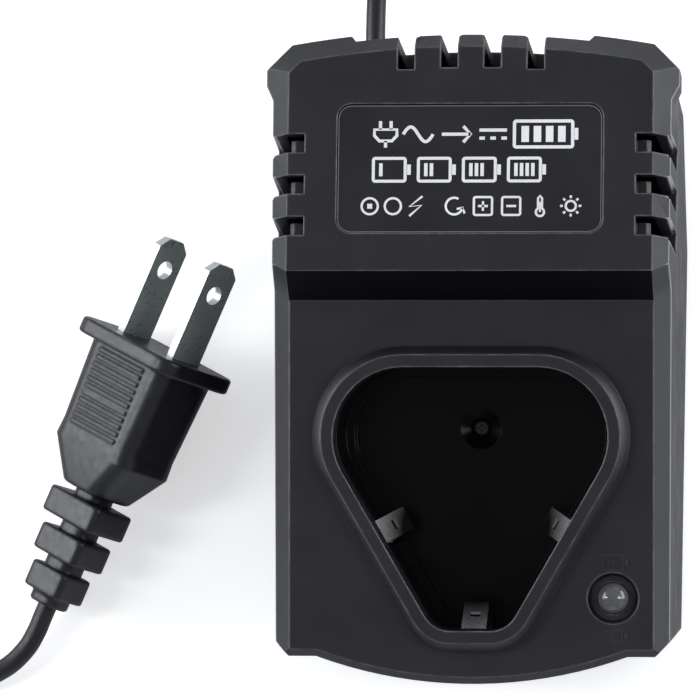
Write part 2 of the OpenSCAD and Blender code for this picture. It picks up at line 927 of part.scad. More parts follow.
module optocoupler() {
    color("#26262a")
        on_board(21 - board_w / 2, chip_y)
            chip(5, 2);
}

module safety_capacitor() {
    color("#2f6ea5")
        on_board(27.5 - board_w / 2, chip_y)
            translate([0, 0, 4.6])
                rotate([0, 90, 0])
                    rotate_extrude($fn = 48)
                        polygon([[0, -1.8], [3.6, -1.8], [4.6, -0.6], [4.6, 0.6], [3.6, 1.8], [0, 1.8]]);
}

// ---------- screws ----------

module housing_screws() {
    color("#77797c")
        at_screws()
            translate([0, 0, screw_seat_z])
                rotate_extrude($fn = 48)
                    polygon([[0, -screw_head_h], [1.8, -screw_head_h], [screw_head_d / 2, -0.9],
                        [screw_head_d / 2, 0], [screw_d / 2, 0], [screw_d / 2, screw_len], [0, screw_len]]);
}

// ---------- cords ----------

bushing_neck_d = 6.8;
bushing_flange_d = 9.4;
bushing_y = rear_y - pow(cord_exit_x, 2) / (2 * rear_bow_r);
bushing_tail = 4.6;

// Bushing that grips the cord in the rear wall, turned about the cord
module cord_bushing() {
    inside = wall + 0.7;
    outside = 0.6;
    color("#1d1d1f")
        translate([-cord_exit_x, bushing_y, cord_exit_z])
            rotate([-90, 0, 0])
                rotate_extrude($fn = 64)
                    polygon([[0, -inside - 1.8], [bushing_flange_d / 2 - 0.6, -inside - 1.8],
                        [bushing_flange_d / 2, -inside - 1.2], [bushing_flange_d / 2, -inside],
                        [bushing_neck_d / 2, -inside], [bushing_neck_d / 2, outside],
                        [bushing_flange_d / 2 - 0.5, outside], [bushing_flange_d / 2 - 0.9, 1.5],
                        [bushing_neck_d / 2 - 0.5, 1.7], [cord_d / 2 + 0.6, bushing_tail], [0, bushing_tail]]);
}

// ---------- swept tubes ----------

function tangents(p) =
    let (n = len(p))
    [for (k = [0:n - 1]) unit(p[min(k + 1, n - 1)] - p[max(k - 1, 0)])];

// Direction s turned square to direction t
function square_to(s, t) = unit(s - (s * t) * t);

// A sideways direction carried along the path without twist
function carried(t, start) =
    [for (k = 0, s = square_to(start, t[0]); k < len(t);
        k = k + 1, s = k < len(t) ? square_to(s, t[k]) : s) s];

// Round tube along a path, as one polyhedron
module tube(path, d, sides = 8) {
    n = len(path);
    t = tangents(path);
    across = carried(t, [0.8, 0.3, 0.5]);
    points = [for (k = [0:n - 1], j = [0:sides - 1]) let (a = 360 * j / sides)
        path[k] + d / 2 * (across[k] * cos(a) + cross(t[k], across[k]) * sin(a))];
    polyhedron(points, concat([[for (j = [0:sides - 1]) j]],
        [for (k = [0:n - 2], j = [0:sides - 1]) let (m = (j + 1) % sides)
            [k * sides + j, (k + 1) * sides + j, (k + 1) * sides + m, k * sides + m]],
        [[for (j = [sides - 1:-1:0]) (n - 1) * sides + j]]));
}

// Smooth points between hand-set ones, steps for each stretch
function smooth(p, steps) =
    let (n = len(p))
    [for (k = [0:n - 2]) let (a = p[max(k - 1, 0)], b = p[k], c = p[k + 1], e = p[min(k + 2, n - 1)])
        for (s = [0:steps - 1]) let (t = s / steps)
            0.5 * (2 * b + (c - a) * t + (2 * a - 5 * b + 4 * c - e) * t * t
                + (3 * b - a - 3 * c + e) * t * t * t),
        p[n - 1]];

// ---------- leads inside the housing ----------

lead_d = 1.4;
lead_rest_z = floor_z + lead_d / 2 + 0.15;
tab_out = cup_wall + 2.4;

function deck_point(x, d, depth) =
    [x, step_foot_y - d * cos(deck_tilt) + depth * sin(deck_tilt),
        deck_rear_z - d * sin(deck_tilt) - depth * cos(deck_tilt)];

// A lead comes up in front of the board and lands on it at x
function landing(x, y = 2.4) =
    [[x, board_front_y - 2.4, board_z - 1.6], [x, board_front_y - 1.6, board_top_z + 1.6],
        [x, board_front_y + y - 1.6, board_top_z + 3.4], [x, board_front_y + y, board_top_z + 1.8],
        [x, board_front_y + y, board_top_z + 0.05]];

// End of a side contact's foot, s = 1 on the right and -1 on the left
function side_tab(s) =
    let (x = socket_rear_half - (contact_d - socket_from_step) / tan(60))
    deck_point(s * (x + tab_out * cos(30)), contact_d + tab_out * sin(30), contact_pivot_depth);

module side_lead(s, lane, land) {
    tab = side_tab(s);
    tube(smooth(concat([tab + [s * 1.1, 0, 0], tab + [s * 2, 1.2, -1], [s * lane, tab.y + 5, lead_rest_z + 1],
        [s * lane, tab.y + 12, lead_rest_z], [s * lane, board_front_y - 14, lead_rest_z],
        [s * (lane + land) / 2, board_front_y - 7, lead_rest_z]], landing(s * land)), 3), lead_d);
}

module positive_lead() {
    color("#a51e1e")
        side_lead(-1, half_w - 10.3, board_w / 2 - 5.6);
}

module negative_lead() {
    color("#1c1c1e")
        side_lead(1, half_w - 14.3, board_w / 2 - 7.6);
}

module sense_lead() {
    tab = deck_point(0, socket_from_step + socket_len + tab_out - 1.6, contact_pivot_depth);
    lane = half_w - 14;
    color("#d8d4cc")
        tube(smooth(concat([tab + [-contact_w / 2 - 0.3, 0, 0], tab + [-contact_w / 2 - 2.4, -0.2, -0.5],
            tab + [-contact_w / 2 - 5.2, 0.2, -1.6], tab + [-11.8, 3, lead_rest_z + 1.4 - tab.z],
            [-lane + 2.8, tab.y + 9, lead_rest_z + 0.2], [-lane, tab.y + 17, lead_rest_z],
            [-lane, board_front_y - 19, lead_rest_z], [-lane + 2, board_front_y - 9, lead_rest_z]],
            landing(9.4 - board_w / 2)), 3), lead_d);
}

module lamp_leads() {
    top = deck_point(lamp_x, lamp_d_pos, wall + 3.2);
    color("#b9b4a8")
        for (s = [-1, 1])
            translate([s * 1.27, 0, 0])
                tube(smooth(concat([top, top + [0, 0, -2], top + [0, 1, -9], top + [-0.6, 4, -16],
                    [lamp_x - 2.4, front_screw_y, lead_rest_z], [lamp_x - 2.4, -14, lead_rest_z],
                    [lamp_x - 2.8, board_front_y - 9, lead_rest_z]], landing(board_w / 2 - 3.4, 1.8)), 3), 0.9);
}

module mains_leads() {
    from = [-cord_exit_x, bushing_y - wall - 2.55, cord_exit_z];
    land_y = board_front_y + board_len - 1.6;
    color("#6b4a36")
        for (s = [-1, 1])
            translate([s * 1, 0, 0])
                tube(smooth([from, from + [0, -1, 0], [from.x, land_y + 0.6, board_top_z + 3],
                    [from.x, land_y, board_top_z + 1.6], [from.x, land_y, board_top_z + 0.05]], 3), lead_d);
}

// ---------- mains cord ----------

// The cord lies on the table, which is at z = 0
coil_r = 19;
coil_x = -40.3;
coil_y = 95;
coil_half_w = 4.9;
coil_h = 6.7;
lie_z = cord_d / 2 + 0.1;

// From the bushing back to the coil
route_to_coil = [[-18, 58, 13], [-18, 61.5, 12.5], [-18, 65, 11.1], [-18, 68.5, 9], [-18, 72, 6.6],
    [-18, 75.5, 4.4], [-18, 79, 2.8], [-18, 83, 1.9], [-18, 88, 1.8]];

// From the coil round to the plug
route_to_plug = [[-58, 109.9, 4.8], [-61.3, 107.5, 4.3], [-64.6, 105.2, 3.4], [-67.8, 102.9, 2.5],
    [-71.1, 100.6, 1.9], [-74.4, 98.3, 1.7], [-80.3, 93.8, 1.7], [-85.7, 88.8, 1.7], [-90.2, 83, 1.7],
    [-93.8, 76.4, 1.7], [-96.5, 69.2, 1.7], [-98.4, 61.2, 1.7], [-99.6, 52.4, 1.7], [-100, 43, 1.7],
    [-100, 31, 1.7], [-100, 19, 1.7], [-100, 7, 1.7], [-100, -5, 1.7], [-100, -17, 1.7], [-100, -27, 1.7],
    [-100, -34.7, 1.7], [-99.2, -39.5, 1.7], [-96.7, -43.7, 1.7], [-93, -46.8, 1.7], [-88.4, -48.5, 1.8],
    [-83.6, -48.5, 2], [-79, -46.8, 2.3], [-75.3, -43.7, 2.9]];

module cord_to_coil() {
    color("#1b1b1d")
        tube(concat([[-cord_exit_x, bushing_y + bushing_tail, cord_exit_z + foot_h]], route_to_coil), cord_d);
}

module cord_coil() {
    color("#1b1b1d")
        translate([coil_x, coil_y, 0.1])
            rotate_extrude($fn = 64)
                polygon([[coil_r - coil_half_w, 1.6], [coil_r - coil_half_w + 1.6, 0],
                    [coil_r + coil_half_w - 1.6, 0], [coil_r + coil_half_w, 1.6],
                    [coil_r + coil_half_w, coil_h - 1.6], [coil_r + coil_half_w - 1.6, coil_h],
                    [coil_r - coil_half_w + 1.6, coil_h], [coil_r - coil_half_w, coil_h - 1.6]]);
}

module cord_to_plug() {
    color("#1b1b1d")
        tube(concat(route_to_plug, [for (y = [5, 2, 0]) plug_point(-plug_body_len - plug_tail - y)]), cord_d);
}

// ---------- plug ----------

plug_x = -53;
plug_y = 5;
plug_turn = -24;
plug_tilt = 10.5;
plug_roll = -35;
plug_flange_t = 2.6;
plug_flange_r = 3.6;
plug_tail = 20;
blade_w = 6.35;
blade_t = 1.5;
blade_len = 17;
blade_root = 5;
blade_gap = 0.05;

// The plug lies on the lowest corner of its flange
plug_low = (plug_w / 2 - plug_flange_r) * abs(sin(plug_roll)) + (plug_h / 2 - plug_flange_r) * cos(plug_roll)
    + plug_flange_r;
plug_z = plug_low * cos(plug_tilt) + plug_flange_t * sin(plug_tilt) + 0.03;

// The plug's own frame has its flange face on y = 0 and its blades along +Y
module at_plug() {
    translate([plug_x, plug_y, plug_z])
        rotate([0, 0, plug_turn])
            rotate([plug_tilt, 0, 0])
                rotate([0, plug_roll, 0])
                    children();
}

// Point of the plug's axis
function plug_point(y) =
    [plug_x - y * cos(plug_tilt) * sin(plug_turn), plug_y + y * cos(plug_tilt) * cos(plug_turn),
        plug_z + y * sin(plug_tilt)];

// Slice of the plug, t thick, whose front lies at y
module plug_slice(y, t, w, h, r) {
    translate([0, y, 0])
        rotate([90, 0, 0])
            linear_extrude(t)
                polygon(rounded_box(w, h, r));
}

// Form between two slices, each given as y, width, thickness and corner radius
module plug_stretch(a, b) {
    hull() {
        plug_slice(a[0], eps, a[1], a[2], a[3]);
        plug_slice(b[0] + eps, eps, b[1], b[2], b[3]);
    }
}

module plug_body() {
    grip_w = plug_w - 4.4;
    grip_h = plug_h - 4;
    grip_end = -17;
    swell = -19.4;
    ribs = 11;
    rib_t = 0.7;
    rib_pitch = 1.25;
    color("#1c1c1f")
        at_plug()
            difference() {
                union() {
                    plug_slice(0, plug_flange_t, plug_w, plug_h, plug_flange_r);
                    plug_stretch([-1, grip_w, grip_h, 3.2], [grip_end, grip_w - 1.4, grip_h - 0.8, 3]);
                    plug_stretch([grip_end + 1, grip_w - 1.4, grip_h - 0.8, 3], [swell, grip_w - 0.4, grip_h - 0.8, 3.4]);
                    plug_stretch([swell + eps, grip_w - 0.4, grip_h - 0.8, 3.4], [-plug_body_len, 10.5, 9.5, 3.4]);
                    for (k = [0:ribs - 1])
                        translate([0, -plug_flange_t - 1.2 - k * rib_pitch, 0])
                            cube([grip_w - 8.4, rib_t, grip_h + 0.5 - 0.07 * k], center = true);
                    plug_slice(1 - plug_body_len, plug_tail + 1, 6.2, 5.6, 2.2);
                    for (k = [0:2])
                        plug_slice(-plug_body_len - 1.4 - 6.2 * k, 4.4, 12.4 - 1.9 * k, 9 - k, 1.2);
                }
                for (s = [-1, 1])
                    translate([s * blade_pitch / 2, 0, 0])
                        cube([blade_t + 2 * blade_gap, 2 * blade_root + 2 * blade_gap, blade_w + 2 * blade_gap],
                            center = true);
            }
}

module plug_blades() {
    tip = 1.6;
    color("#c8c9cc")
        at_plug()
            for (s = [-1, 1])
                translate([s * blade_pitch / 2 - blade_t / 2, 0, 0])
                    difference() {
                        rotate([90, 0, 90])
                            linear_extrude(blade_t)
                                polygon([[-blade_root, -blade_w / 2], [blade_len - tip, -blade_w / 2],
                                    [blade_len, -blade_w / 2 + tip], [blade_len, blade_w / 2 - tip],
                                    [blade_len - tip, blade_w / 2], [-blade_root, blade_w / 2]]);
                        translate([-1, blade_len - 5.2, 0])
                            rotate([0, 90, 0])
                                cylinder(h = blade_t + 2, d = 3.1, $fn = 32);
                    }
}

// ---------- the whole charger ----------

// Stands the charger on its feet
module stand() {
    translate([0, 0, foot_h])
        children();
}

stand() top_housing();
stand() bottom_housing();
stand() battery_socket();
stand() contact_positive();
stand() contact_negative();
stand() contact_sense();
stand() status_lamp();
stand() rating_label();
stand() circuit_board();
stand() transformer_core();
stand() transformer_winding();
stand() input_capacitor();
stand() output_capacitor();
stand() rectifier_diodes();
stand() output_diode();
stand() input_fuse();
stand() filter_choke();
stand() switching_transistor();
stand() control_chip();
stand() optocoupler();
stand() safety_capacitor();
stand() mains_leads();
stand() positive_lead();
stand() negative_lead();
stand() sense_lead();
stand() lamp_leads();
stand() housing_screws();
stand() board_screws();
stand() socket_screw();
stand() rubber_feet();
stand() cord_bushing();
cord_to_coil();
cord_coil();
cord_to_plug();
plug_body();
plug_blades();
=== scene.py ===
import math

import bpy
from mathutils import Matrix, Vector


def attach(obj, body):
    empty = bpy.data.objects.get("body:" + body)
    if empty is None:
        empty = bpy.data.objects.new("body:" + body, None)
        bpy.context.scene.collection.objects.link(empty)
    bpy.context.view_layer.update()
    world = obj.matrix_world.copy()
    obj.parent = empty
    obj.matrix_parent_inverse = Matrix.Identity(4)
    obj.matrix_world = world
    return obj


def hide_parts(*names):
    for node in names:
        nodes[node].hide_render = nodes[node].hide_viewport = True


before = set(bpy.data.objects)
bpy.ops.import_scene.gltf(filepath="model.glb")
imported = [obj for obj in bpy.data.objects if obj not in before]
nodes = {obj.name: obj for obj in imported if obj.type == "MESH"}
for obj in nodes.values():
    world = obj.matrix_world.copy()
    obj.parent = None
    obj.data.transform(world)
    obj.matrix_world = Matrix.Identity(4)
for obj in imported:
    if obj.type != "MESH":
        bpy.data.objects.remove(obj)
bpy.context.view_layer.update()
scene = bpy.context.scene
print("frame loaded:", len(nodes), "nodes")

# camera

cameraView = {
    "lookAt": (-0.0194, 0.00105, 0.0356), "distance": 1.2, "width": 0.112,
    "tiltForward": 9.0, "tiltSide": 5.2, "sensor": 36, "clip": (0.01, 20),
}


def makeCamera():
    data = bpy.data.cameras.new("camera")
    camera = bpy.data.objects.new("camera", data)
    scene.collection.objects.link(camera)
    forward = math.radians(cameraView["tiltForward"])
    side = math.radians(cameraView["tiltSide"])
    up = Vector((0, math.cos(forward), math.sin(forward)))
    square = Vector((0, -math.sin(forward), math.cos(forward)))
    back = (square * math.cos(side) + Vector((math.sin(side), 0, 0))).normalized()
    right = up.cross(back)
    place = Vector(cameraView["lookAt"]) + back * cameraView["distance"]
    camera.matrix_world = Matrix.Translation(place) @ Matrix((right, up, back)).transposed().to_4x4()
    data.sensor_width = cameraView["sensor"]
    data.lens = cameraView["sensor"] * cameraView["distance"] / cameraView["width"]
    data.clip_start, data.clip_end = cameraView["clip"]
    scene.camera = camera


makeCamera()
print("camera done")

# copies of two nodes, with their round corners shaded as curves

housingRound = {"smooth": 21}
# millimetres and degrees. The tail is where the cord comes out.
plug = {"x": -53.0, "y": 5.0, "z": 12.889, "turn": -24.0, "tilt": 10.5, "roll": -35.0, "tail": -46.0}
# millimetres in the plug's own frame. Two places stay sharp: the stretch with the grip ribs, and the block
# that holds the blades, given by half its width, its back and half its height.
plugRound = {
    "smooth": 30, "radius": 0.5, "steps": 4, "leastBend": 20,
    "ribs": (-20.5, -2.8), "slots": (7.4, -5.2, 3.4),
}
# metres, degrees and square metres
cleanUp = {"merge": 0.000001, "flat": 0.4, "largeFace": 0.0004, "weight": 100}


def plugFrame():
    place = Matrix.Translation(Vector((plug["x"], plug["y"], plug["z"])) / 1000)
    for angle, axis in ((plug["turn"], "Z"), (plug["tilt"], "X"), (plug["roll"], "Y")):
        place = place @ Matrix.Rotation(math.radians(angle), 4, axis)
    return place


def plugEdge(ends):
    # true for an edge that isn't on a rib or at a blade
    low, high = plugRound["ribs"]
    halfX, back, halfZ = plugRound["slots"]
    if all(low < end.y < high for end in ends):
        return False
    return not all(abs(end.x) < halfX and end.y > back and abs(end.z) < halfZ for end in ends)


def roundEdges(piece, inFrame, wanted):
    # rounds the outside edges whose ends, in millimetres of this frame, are wanted
    mesh = piece.data
    sides = {}
    for face in mesh.polygons:
        for key in face.edge_keys:
            sides.setdefault(key, []).append(face)
    weights = mesh.attributes.new("bevel_weight_edge", "FLOAT", "EDGE")
    for edge in mesh.edges:
        one, other = sides[edge.key]
        bent = one.normal.angle(other.normal) > math.radians(plugRound["leastBend"])
        outside = (other.center - one.center).dot(one.normal) < 0
        ends = [inFrame @ mesh.vertices[k].co * 1000 for k in edge.vertices]
        weights.data[edge.index].value = 1.0 if bent and outside and wanted(ends) else 0.0
    rounding = piece.modifiers.new("rounding", "BEVEL")
    rounding.limit_method = "WEIGHT"
    rounding.width = plugRound["radius"] / 1000
    rounding.segments = plugRound["steps"]
    rounding.use_clamp_overlap = False
    bpy.ops.object.modifier_apply(modifier="rounding")


def roundedCopy(nodeName, name, angle, inFrame=None, wanted=None):
    # stands for a node. Its large faces stay flat.
    source = nodes[nodeName]
    copy = source.copy()
    copy.data = source.data.copy()
    copy.name = name
    scene.collection.objects.link(copy)
    copy.parent = None
    copy.matrix_world = source.matrix_world.copy()
    bpy.ops.object.select_all(action="DESELECT")
    copy.select_set(True)
    bpy.context.view_layer.objects.active = copy
    bpy.ops.object.mode_set(mode="EDIT")
    bpy.ops.mesh.select_all(action="SELECT")
    bpy.ops.mesh.remove_doubles(threshold=cleanUp["merge"])
    bpy.ops.mesh.dissolve_limited(angle_limit=math.radians(cleanUp["flat"]))
    bpy.ops.object.mode_set(mode="OBJECT")
    if wanted:
        roundEdges(copy, inFrame, wanted)
    bpy.ops.object.shade_smooth_by_angle(angle=math.radians(angle))
    edges = {edge.key: edge for edge in copy.data.edges}
    for face in copy.data.polygons:
        if face.area > cleanUp["largeFace"]:
            for key in face.edge_keys:
                edges[key].use_edge_sharp = True
    flats = copy.modifiers.new("flats", "WEIGHTED_NORMAL")
    flats.keep_sharp = True
    flats.weight = cleanUp["weight"]
    bpy.ops.object.modifier_apply(modifier="flats")
    bpy.ops.object.transform_apply(location=True, rotation=True, scale=True)
    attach(copy, "charger")
    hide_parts(nodeName)
    return copy


topShell = roundedCopy("top_housing", "topShell", housingRound["smooth"])
plugShell = roundedCopy("plug_body", "plugShell", plugRound["smooth"], plugFrame().inverted(), plugEdge)
print("rounded copies done")

# mains cord: from the bushing in the rear wall, through its coil, to the plug. Millimetres.

mainsCord = {
    "diameter": 3.2, "steps": 6, "roundSteps": 5, "intoPlug": (5, 2, 0),
    "toCoil": [(-18, 55.154, 13), (-18, 58, 13), (-18, 61.5, 12.5), (-18, 65, 11.1), (-18, 68.5, 9),
               (-18, 72, 6.6), (-18, 75.5, 4.4), (-18, 79, 2.8), (-18, 83, 1.9), (-18, 88, 1.8),
               (-18, 91.5, 1.75)],
    "fromCoil": [(-56.4, 111.0, 4.95), (-58.0, 109.9, 4.8), (-59.7, 108.7, 4.6), (-61.3, 107.5, 4.3),
                 (-64.6, 105.2, 3.4), (-67.8, 102.9, 2.5), (-71.1, 100.6, 1.9), (-74.4, 98.3, 1.7),
                 (-80.3, 93.8, 1.7), (-85.7, 88.8, 1.7), (-90.2, 83.0, 1.7), (-93.8, 76.4, 1.7),
                 (-96.5, 69.2, 1.7), (-98.4, 61.2, 1.7), (-99.6, 52.4, 1.7), (-100, 43, 1.7), (-100, 31, 1.7),
                 (-100, 19, 1.7), (-100, 7, 1.7), (-100, -5, 1.7), (-100, -17, 1.7), (-100, -27, 1.7),
                 (-100, -34.7, 1.7), (-99.2, -39.5, 1.7), (-96.7, -43.7, 1.7), (-93, -46.8, 1.7),
                 (-88.4, -48.5, 1.8), (-83.6, -48.5, 2.0), (-79, -46.8, 2.3), (-75.3, -43.7, 2.9)],
}
coil = {
    "x": -40.3, "y": 95.0, "perTurn": 24, "leaveAt": 125.0,
    # degrees of a turn after which it moves over to the next one or climbs to the next layer, how far it
    # dips inwards as it climbs, and the share of the climb after which it is up
    "bandStart": 270.0, "climbStart": 180.0, "dip": 1.6, "upBy": 0.85,
    # radius and height of each turn, in the order in which it is wound
    "turns": [(22.3, 1.75), (19.0, 1.75), (15.7, 1.75), (15.7, 5.05), (19.0, 5.05), (22.3, 5.05)],
}


def plugAxisPoint(y):
    turn, tilt = math.radians(plug["turn"]), math.radians(plug["tilt"])
    return (plug["x"] - y * math.cos(tilt) * math.sin(turn), plug["y"] + y * math.cos(tilt) * math.cos(turn),
            plug["z"] + y * math.sin(tilt))


def coilPoints():
    points = []
    turns = coil["turns"]
    total = 360.0 * (len(turns) - 1) + coil["leaveAt"]
    step = 360.0 / coil["perTurn"]
    for k in range(int(total / step) + 1):
        around = k * step
        which = min(int(around // 360), len(turns) - 1)
        angle = around - 360 * which
        radius, height = turns[which]
        nextRadius, nextHeight = turns[min(which + 1, len(turns) - 1)]
        start = coil["climbStart"] if nextHeight > height else coil["bandStart"]
        if angle > start:
            u = (angle - start) / (360 - start)
            soft = 0.5 - 0.5 * math.cos(math.pi * u)
            lift = 0.5 - 0.5 * math.cos(math.pi * min(1, u / coil["upBy"]))
            if nextHeight > height:
                radius -= coil["dip"] * math.sin(math.pi * u) ** 2
            radius += (nextRadius - radius) * soft if nextHeight == height else 0
            height += (nextHeight - height) * lift
        a = math.radians(angle)
        points.append((coil["x"] + radius * math.cos(a), coil["y"] + radius * math.sin(a), height))
    return points


def makeCord():
    tail = [plugAxisPoint(plug["tail"] - before) for before in mainsCord["intoPlug"]]
    route = mainsCord["toCoil"] + coilPoints() + mainsCord["fromCoil"] + tail
    curve = bpy.data.curves.new("mainsCord", "CURVE")
    curve.dimensions = "3D"
    curve.resolution_u = mainsCord["steps"]
    spline = curve.splines.new("BEZIER")
    spline.bezier_points.add(len(route) - 1)
    for point, place in zip(spline.bezier_points, route):
        point.co = Vector(place) / 1000
        point.handle_left_type = "AUTO"
        point.handle_right_type = "AUTO"
        point.radius = mainsCord["diameter"] / 2000
    # each point's radius gives the thickness
    curve.bevel_depth = 1.0
    curve.bevel_resolution = mainsCord["roundSteps"]
    curve.use_fill_caps = True
    cord = bpy.data.objects.new("mainsCord", curve)
    scene.collection.objects.link(cord)
    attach(cord, "charger")
    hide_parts("cord_to_coil", "cord_coil", "cord_to_plug")
    return cord


cord = makeCord()
print("cord done")

# lamps, floor and world

lampColor = (0.95, 0.97, 1.0)
lamps = [
    # name, place, aims at, size, watts
    ("leftSoftbox", (-0.88, 0.26, 0.24), (0, 0.0, 0.02), (0.80, 0.42), 6.1),
    ("rightSoftbox", (0.88, 0.26, 0.24), (0, 0.0, 0.02), (0.80, 0.42), 6.0),
    ("rearSoftbox", (0.05, 0.95, 0.3), (0, 0.0, 0.02), (1.0, 0.4), 0.8),
    ("frontSoftbox", (0.0, -0.95, 0.2), (0, 0.0, 0.02), (0.5, 0.3), 0.4),
    ("leftSpot", (-0.86, 0.0, 0.80), (0, 0, 0.02), (0.24, 0.40), 4.2),
    ("rightSpot", (0.88, -0.04, 0.78), (0, 0, 0.02), (0.24, 0.40), 3.4),
]


def makeLamp(name, place, aim, size, watts):
    data = bpy.data.lights.new(name, "AREA")
    data.shape = "RECTANGLE"
    data.size, data.size_y = size
    data.energy = watts
    data.color = lampColor
    lamp = bpy.data.objects.new(name, data)
    scene.collection.objects.link(lamp)
    lamp.location = place
    lamp.rotation_euler = (Vector(aim) - Vector(place)).to_track_quat("-Z", "Y").to_euler()


def newMaterial(name):
    mat = bpy.data.materials.new(name)
    mat.use_nodes = True
    tree = mat.node_tree
    tree.nodes.clear()
    out = tree.nodes.new("ShaderNodeOutputMaterial")
    shader = tree.nodes.new("ShaderNodeBsdfPrincipled")
    tree.links.new(shader.outputs["BSDF"], out.inputs["Surface"])
    coords = tree.nodes.new("ShaderNodeTexCoord")
    return mat, tree, shader, coords


def addNoise(tree, coords, scale, detail=3.0, stretch=(1, 1, 1)):
    mapping = tree.nodes.new("ShaderNodeMapping")
    mapping.inputs["Scale"].default_value = stretch
    noise = tree.nodes.new("ShaderNodeTexNoise")
    noise.inputs["Scale"].default_value = scale
    noise.inputs["Detail"].default_value = detail
    tree.links.new(coords.outputs["Object"], mapping.inputs["Vector"])
    tree.links.new(mapping.outputs["Vector"], noise.inputs["Vector"])
    return noise.outputs["Fac"]


def addRange(tree, value, fromLow, fromHigh, toLow, toHigh):
    node = tree.nodes.new("ShaderNodeMapRange")
    node.inputs["From Min"].default_value = fromLow
    node.inputs["From Max"].default_value = fromHigh
    node.inputs["To Min"].default_value = toLow
    node.inputs["To Max"].default_value = toHigh
    tree.links.new(value, node.inputs["Value"])
    return node.outputs["Result"]


def addMix(tree, fac, low, high):
    mix = tree.nodes.new("ShaderNodeMix")
    mix.data_type = "RGBA"
    tree.links.new(fac, mix.inputs["Factor"])
    # inputs 6 and 7 and output 2 are the colours
    for socket, color in ((mix.inputs[6], low), (mix.inputs[7], high)):
        if isinstance(color, bpy.types.NodeSocket):
            tree.links.new(color, socket)
        else:
            socket.default_value = (*color, 1)
    return mix.outputs[2]


def addTimes(tree, one, other):
    node = tree.nodes.new("ShaderNodeMath")
    node.operation = "MULTIPLY"
    tree.links.new(one, node.inputs[0])
    tree.links.new(other, node.inputs[1])
    return node.outputs["Value"]


def addDot(tree, one, other):
    # how well two directions agree, 1 for the same one
    node = tree.nodes.new("ShaderNodeVectorMath")
    node.operation = "DOT_PRODUCT"
    tree.links.new(one, node.inputs[0])
    if isinstance(other, bpy.types.NodeSocket):
        tree.links.new(other, node.inputs[1])
    else:
        node.inputs[1].default_value = other
    return node.outputs["Value"]


def addSplit(tree, vector, axis):
    node = tree.nodes.new("ShaderNodeSeparateXYZ")
    tree.links.new(vector, node.inputs["Vector"])
    return node.outputs[axis]


bevelSamples = 6


def addSoftNormal(tree, radius):
    # direction of the surface, as if its edges were rounded
    node = tree.nodes.new("ShaderNodeBevel")
    node.samples = bevelSamples
    node.inputs["Radius"].default_value = radius
    return node.outputs["Normal"]


def addBump(tree, shader, height, distance, strength, edge=0.0):
    # fine relief, and edges rounded by this much in the shading
    bump = tree.nodes.new("ShaderNodeBump")
    bump.inputs["Strength"].default_value = strength
    bump.inputs["Distance"].default_value = distance
    tree.links.new(height, bump.inputs["Height"])
    if edge > 0:
        tree.links.new(addSoftNormal(tree, edge), bump.inputs["Normal"])
    tree.links.new(bump.outputs["Normal"], shader.inputs["Normal"])


# mask for the lighter edges, partly real wear and partly painted highlight: how far the surface agrees with
# its rounded self, the share of open air around it and the reach in metres
edgeWearAndHighlight = {"agrees": (0.99, 0.86), "open": (0.82, 0.97), "openSamples": 4, "reach": 0.0012}


def addEdgeMask(tree, radius):
    # 1 along outside edges, 0 on flat faces
    geometry = tree.nodes.new("ShaderNodeNewGeometry")
    agrees = addDot(tree, addSoftNormal(tree, radius), geometry.outputs["Normal"])
    air = tree.nodes.new("ShaderNodeAmbientOcclusion")
    air.samples = edgeWearAndHighlight["openSamples"]
    air.only_local = True
    air.inputs["Distance"].default_value = edgeWearAndHighlight["reach"]
    return addTimes(tree, addRange(tree, agrees, *edgeWearAndHighlight["agrees"], 0.0, 1.0),
                    addRange(tree, air.outputs["AO"], *edgeWearAndHighlight["open"], 0.0, 1.0))


stage = {
    "size": 6, "below": 0.0002, "tones": ((0.87, 0.87, 0.87), (0.90, 0.90, 0.90)), "grain": 40,
    "roughness": 0.9, "specular": 0.1, "glow": 0.50, "sky": (0.92, 0.94, 1.0), "skyStrength": 0.39,
}


def makeStage():
    bpy.ops.object.select_all(action="DESELECT")
    bpy.ops.mesh.primitive_plane_add(size=stage["size"], location=(0, 0, -stage["below"]))
    floor = bpy.context.object
    floor.name = "floor"
    mat, tree, shader, coords = newMaterial("paleFloor")
    shader.inputs["Roughness"].default_value = stage["roughness"]
    shader.inputs["Specular IOR Level"].default_value = stage["specular"]
    tone = addNoise(tree, coords, stage["grain"])
    tree.links.new(addMix(tree, tone, *stage["tones"]), shader.inputs["Base Color"])
    # it glows for the camera alone
    path = tree.nodes.new("ShaderNodeLightPath")
    shader.inputs["Emission Color"].default_value = (1, 1, 1, 1)
    tree.links.new(addRange(tree, path.outputs["Is Camera Ray"], 0, 1, 0, stage["glow"]),
                   shader.inputs["Emission Strength"])
    floor.data.materials.append(mat)

    world = bpy.data.worlds.new("studio")
    scene.world = world
    world.use_nodes = True
    tree = world.node_tree
    tree.nodes.clear()
    out = tree.nodes.new("ShaderNodeOutputWorld")
    sky = tree.nodes.new("ShaderNodeBackground")
    sky.inputs["Color"].default_value = (*stage["sky"], 1)
    sky.inputs["Strength"].default_value = stage["skyStrength"]
    tree.links.new(sky.outputs["Background"], out.inputs["Surface"])
    scene.view_settings.view_transform = "Standard"


for lamp in lamps:
    makeLamp(*lamp)
makeStage()
print("lamps and floor done")

# finishes

